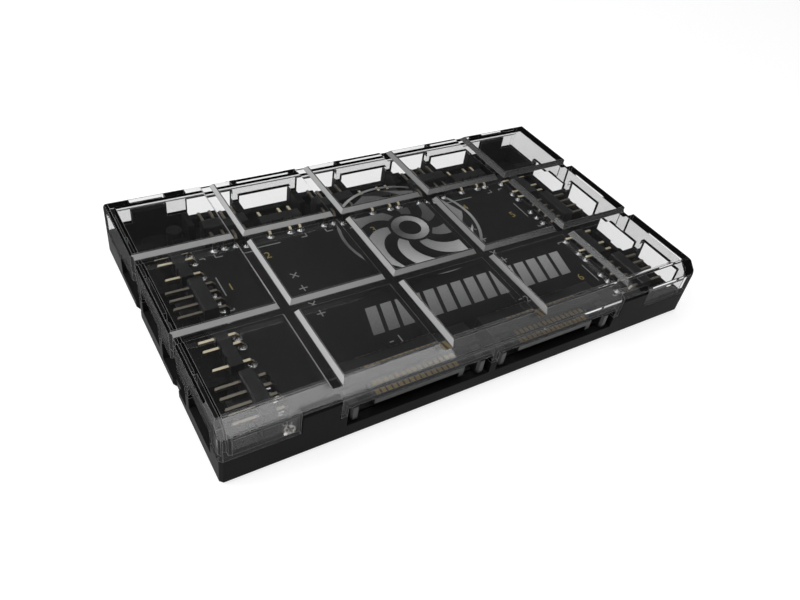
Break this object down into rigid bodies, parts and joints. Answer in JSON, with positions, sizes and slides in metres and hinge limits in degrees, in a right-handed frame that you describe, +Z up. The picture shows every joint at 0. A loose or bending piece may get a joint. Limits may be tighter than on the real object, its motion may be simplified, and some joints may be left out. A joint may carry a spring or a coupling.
{
  "type": "pc fan controller hub",
  "caption": "Flat fan and light controller hub with a black tray, a clear grooved cover, a circuit board with pin sockets round three sides and power inlets at the front.",
  "frame": {"origin": "middle of the flat underside", "axes": "+X along the side with the power inlets, +Y from that side to the rear row of sockets, +Z up through the clear cover"},
  "size_m": [0.115, 0.0694, 0.0144],
  "materials": {
    "tray": "satin black moulding",
    "cover": "clear moulding, polished",
    "board": "matte black solder mask",
    "header": "black moulding",
    "pin": "gold plated",
    "screw": "nickel plated",
    "chip": "moulded package",
    "capacitor": "fired ceramic"
  },
  "bodies": {
    "root": {"base_tray": "tray", "clear_cover": "cover", "circuit_board": "board", "board_screws": "screw", "pwm_header_mainboard": "header", "pwm_pins_mainboard": "pin", "pwm_header_6": "header", "pwm_pins_6": "pin", "argb_header_mainboard": "header", "argb_pins_mainboard": "pin", "argb_header_6": "header", "argb_pins_6": "pin", "pwm_header_1": "header", "pwm_pins_1": "pin", "pwm_header_5": "header", "pwm_pins_5": "pin", "argb_header_1": "header", "argb_pins_1": "pin", "argb_header_5": "header", "argb_pins_5": "pin", "pwm_header_2": "header", "pwm_pins_2": "pin", "argb_header_2": "header", "argb_pins_2": "pin", "pwm_header_3": "header", "pwm_pins_3": "pin", "argb_header_3": "header", "argb_pins_3": "pin", "pwm_header_4": "header", "pwm_pins_4": "pin", "argb_header_4": "header", "argb_pins_4": "pin", "sata_inlet_1": "header", "sata_contacts_1": "pin", "sata_inlet_2": "header", "sata_contacts_2": "pin", "fan_signal_chip": "chip", "light_signal_chip": "chip", "board_capacitors": "capacitor"}
  },
  "joints": []
}
